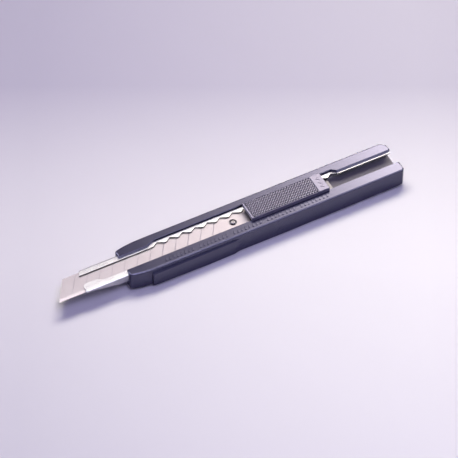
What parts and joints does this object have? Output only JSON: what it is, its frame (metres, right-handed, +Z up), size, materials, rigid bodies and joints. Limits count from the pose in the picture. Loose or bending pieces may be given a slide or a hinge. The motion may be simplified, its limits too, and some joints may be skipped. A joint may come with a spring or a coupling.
{
  "type": "snap off knife",
  "caption": "Slim snap off utility knife: cast handle with an open slot, notched steel channel, knurled slider and a scored 9 mm blade.",
  "frame": {"origin": "Under the middle of the whole knife, on the surface it rests on.", "axes": "+X towards the blade's tip, +Y towards the side of the cutting edge, +Z up, out of the slot."},
  "size_m": [0.1366, 0.017, 0.0106],
  "materials": {
    "handle_paint": "die-cast handle in dark blue-grey semi-gloss paint",
    "channel_steel": "bright rolled stainless strip, folded",
    "blade_steel": "hardened blade steel, fine ground grain, bright bevel",
    "cap_paint": "cast thumb piece in grey satin paint, knurled top",
    "carrier_steel": "pressed mild steel, zinc plated",
    "spring_steel": "tempered spring steel",
    "rivet_steel": "plain steel, formed head"
  },
  "bodies": {
    "handle": {"handle_body": "handle_paint", "blade_channel": "channel_steel", "channel_rivet_front": "rivet_steel", "channel_rivet_rear": "rivet_steel"},
    "slider": {"blade_segment_01": "blade_steel", "blade_segment_02": "blade_steel", "blade_segment_03": "blade_steel", "blade_segment_04": "blade_steel", "blade_segment_05": "blade_steel", "blade_segment_06": "blade_steel", "blade_segment_07": "blade_steel", "blade_segment_08": "blade_steel", "blade_segment_09": "blade_steel", "blade_segment_10": "blade_steel", "blade_segment_11": "blade_steel", "blade_segment_12": "blade_steel", "blade_tang": "blade_steel", "slider_cap": "cap_paint", "blade_carrier": "carrier_steel", "blade_stud": "rivet_steel", "click_spring": "spring_steel", "cap_rivet_front": "rivet_steel", "cap_rivet_rear": "rivet_steel"}
  },
  "joints": [
    {"name": "slider_slide", "type": "slide", "parent": "handle", "child": "slider", "axis": [1, 0, 0], "range_m": [-0.02, 0.04], "deforming": ["click_spring"]}
  ]
}
